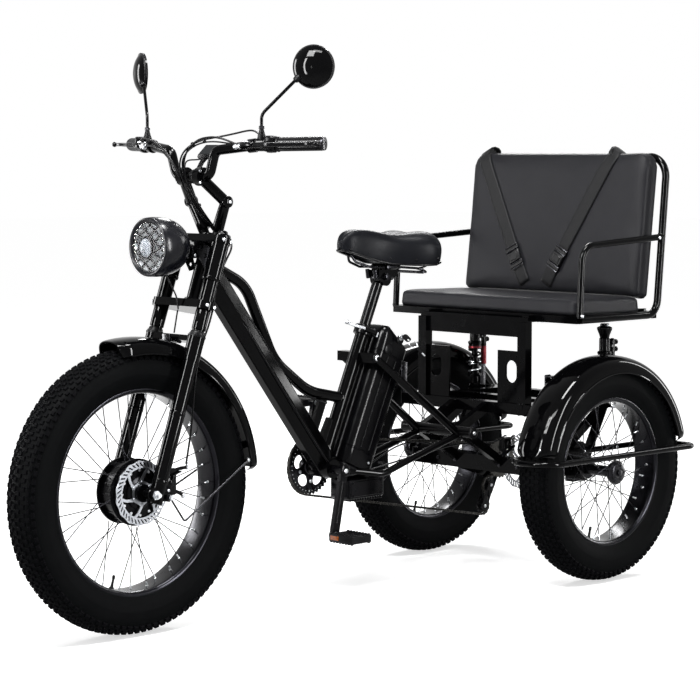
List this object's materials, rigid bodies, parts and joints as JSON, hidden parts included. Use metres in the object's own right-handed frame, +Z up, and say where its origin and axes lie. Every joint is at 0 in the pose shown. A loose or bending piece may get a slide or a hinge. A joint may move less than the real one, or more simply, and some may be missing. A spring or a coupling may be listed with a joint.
{
  "type": "electric tricycle",
  "caption": "Pedal-assisted electric tricycle with a fat-tyred steered front wheel, a saddle, a mid-mounted battery and a padded rear passenger bench between the rear wheels.",
  "frame": {"origin": "on the ground, centred between the wheels' outermost points along the length and on the middle plane", "axes": "+X to the rider's left, +Y to the rear (it drives towards -Y), +Z up"},
  "size_m": [0.84, 2.0589, 1.4268],
  "materials": {
    "axle_steel": "zinc plated steel",
    "bar_alloy": "black anodised",
    "battery_plastic": "black ABS case",
    "cable_jacket": "black PVC jacket",
    "chain_steel": "oiled steel",
    "control_plastic": "moulded black plastic",
    "damper_black": "black coated",
    "disc_steel": "ground steel",
    "fork_black": "gloss black enamel",
    "fork_cover": "moulded black nylon",
    "frame_paint": "satin black powder coat",
    "grip_rubber": "ribbed rubber",
    "guard_plastic": "moulded polypropylene",
    "hub_alloy": "black cast alloy",
    "lamp_shell": "gloss black ABS",
    "lens_clear": "clear moulded lens",
    "lever_alloy": "black painted alloy",
    "mirror_glass": "silvered glass",
    "pedal_plastic": "moulded nylon",
    "rim_black": "black anodised alloy",
    "spoke_steel": "bright drawn wire",
    "tyre_rubber": "knobbly fat tyre rubber",
    "vinyl_black": "black embossed vinyl",
    "webbing_black": "woven nylon webbing"
  },
  "bodies": {
    "frame": {"down_tube": "frame_paint", "top_tube": "frame_paint", "seat_tube": "frame_paint", "seat_post": "bar_alloy", "saddle": "vinyl_black", "rear_stays": "frame_paint", "battery_case": "battery_plastic", "controller_case": "control_plastic", "rear_deck": "frame_paint", "axle_carriage": "frame_paint", "axle_blocks": "damper_black", "wheel_guards": "frame_paint", "rear_mudguards": "guard_plastic", "dampers": "damper_black", "bench_frame": "frame_paint", "armrests": "grip_rubber", "bench_cushion": "vinyl_black", "backrest": "vinyl_black", "harness": "webbing_black", "rear_caliper": "fork_black", "derailleur": "control_plastic", "chain": "chain_steel"},
    "steering": {"front_axle": "axle_steel", "fork_sliders": "fork_black", "fork_stanchions": "fork_cover", "fork_crowns": "fork_black", "front_mudguard": "guard_plastic", "headlight": "lamp_shell", "headlight_lens": "lens_clear", "handlebar": "bar_alloy", "handlebar_risers": "bar_alloy", "grips": "grip_rubber", "hand_controls": "lever_alloy", "mirrors": "control_plastic", "mirror_glasses": "mirror_glass", "display": "control_plastic", "front_caliper": "fork_black", "control_cables": "cable_jacket"},
    "front_wheel": {"front_tyre": "tyre_rubber", "front_rim": "rim_black", "hub_motor": "hub_alloy", "front_spokes": "spoke_steel", "front_brake_disc": "disc_steel"},
    "left_rear_wheel": {"left_rear_tyre": "tyre_rubber", "left_rear_rim": "rim_black", "left_rear_spokes": "spoke_steel", "left_rear_hub": "axle_steel", "rear_brake_disc": "disc_steel"},
    "right_rear_wheel": {"right_rear_tyre": "tyre_rubber", "right_rear_rim": "rim_black", "right_rear_spokes": "spoke_steel", "right_rear_hub": "axle_steel", "rear_cogs": "chain_steel"},
    "crankset": {"cranks": "bar_alloy", "chainring": "chain_steel"},
    "left_pedal": {"left_pedal": "pedal_plastic"},
    "right_pedal": {"right_pedal": "pedal_plastic"}
  },
  "joints": [
    {"name": "steering_turn", "type": "hinge", "parent": "frame", "child": "steering", "pos_m": [0, -0.6315, 0.335], "axis": [0, 0.3256, 0.9455], "range_deg": [-38, 38]},
    {"name": "front_wheel_roll", "type": "hinge", "parent": "steering", "child": "front_wheel", "pos_m": [0, -0.6785, 0.351], "axis": [1, 0, 0], "continuous": true},
    {"name": "left_wheel_roll", "type": "hinge", "parent": "frame", "child": "left_rear_wheel", "pos_m": [0.3325, 0.7015, 0.302], "axis": [1, 0, 0], "continuous": true},
    {"name": "right_wheel_roll", "type": "hinge", "parent": "frame", "child": "right_rear_wheel", "pos_m": [-0.3325, 0.7015, 0.302], "axis": [1, 0, 0], "continuous": true},
    {"name": "crank_turn", "type": "hinge", "parent": "frame", "child": "crankset", "pos_m": [0, -0.0285, 0.346], "axis": [1, 0, 0], "continuous": true},
    {"name": "left_pedal_spin", "type": "hinge", "parent": "crankset", "child": "left_pedal", "pos_m": [0.15, -0.08664, 0.18625], "axis": [1, 0, 0], "continuous": true},
    {"name": "right_pedal_spin", "type": "hinge", "parent": "crankset", "child": "right_pedal", "pos_m": [-0.15, 0.02964, 0.50575], "axis": [1, 0, 0], "continuous": true}
  ]
}
